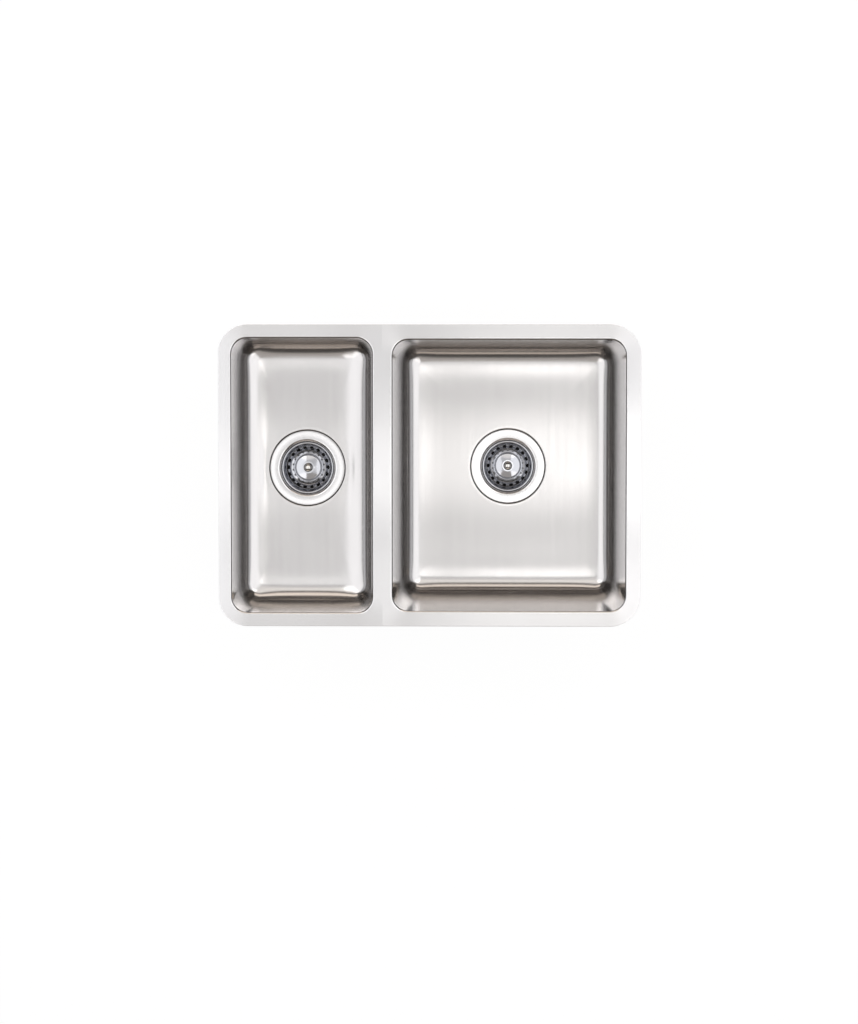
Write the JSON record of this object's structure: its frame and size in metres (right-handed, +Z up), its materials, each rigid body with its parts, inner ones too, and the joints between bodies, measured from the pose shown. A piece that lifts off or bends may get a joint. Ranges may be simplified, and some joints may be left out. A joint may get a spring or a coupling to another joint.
{
  "type": "undermount kitchen sink",
  "caption": "Undermount stainless sink with a narrow and a wide pressed bowl side by side, each with a flanged basket waste whose strainer lifts out by its knob.",
  "frame": {"origin": "on the rim's top face, on the weld line in the middle of the divider, midway from front to back", "axes": "+X towards the main bowl, +Y towards the back, +Z up out of the bowls"},
  "size_m": [0.615, 0.44, 0.298],
  "materials": {
    "bowl_steel": "satin brushed",
    "waste_steel": "bright pressed",
    "knob_steel": "polished",
    "screw_steel": "turned",
    "insert_brass": "turned",
    "seal_rubber": "matte moulded",
    "pad_rubber": "matte sheet",
    "body_plastic": "moulded",
    "bush_plastic": "moulded"
  },
  "bodies": {
    "sink": {"small_bowl": "bowl_steel", "small_sound_pad_back": "pad_rubber", "small_sound_pad_front": "pad_rubber", "small_waste_flange": "waste_steel", "small_flange_seal": "seal_rubber", "small_body_seal": "seal_rubber", "small_waste_body": "body_plastic", "small_screw_insert": "insert_brass", "small_centre_screw": "screw_steel", "main_bowl": "bowl_steel", "main_sound_pad_back": "pad_rubber", "main_sound_pad_front": "pad_rubber", "main_waste_flange": "waste_steel", "main_flange_seal": "seal_rubber", "main_body_seal": "seal_rubber", "main_waste_body": "body_plastic", "main_screw_insert": "insert_brass", "main_centre_screw": "screw_steel"},
    "small_grip": {"small_grip_bush": "bush_plastic"},
    "small_strainer": {"small_basket": "waste_steel", "small_pull_knob": "knob_steel", "small_basket_stem": "screw_steel", "small_stopper_plate": "waste_steel", "small_stopper_seal": "seal_rubber", "small_retaining_ring": "screw_steel"},
    "main_grip": {"main_grip_bush": "bush_plastic"},
    "main_strainer": {"main_basket": "waste_steel", "main_pull_knob": "knob_steel", "main_basket_stem": "screw_steel", "main_stopper_plate": "waste_steel", "main_stopper_seal": "seal_rubber", "main_retaining_ring": "screw_steel"}
  },
  "joints": [
    {"name": "small_strainer_turn", "type": "hinge", "parent": "sink", "child": "small_grip", "pos_m": [-0.1175, 0.006, -0.13], "axis": [0, 0, 1], "continuous": true},
    {"name": "small_strainer_lift", "type": "slide", "parent": "small_grip", "child": "small_strainer", "axis": [0, 0, 1], "range_m": [0, 0.192]},
    {"name": "main_strainer_turn", "type": "hinge", "parent": "sink", "child": "main_grip", "pos_m": [0.1845, 0.006, -0.2], "axis": [0, 0, 1], "continuous": true},
    {"name": "main_strainer_lift", "type": "slide", "parent": "main_grip", "child": "main_strainer", "axis": [0, 0, 1], "range_m": [0, 0.262]}
  ]
}
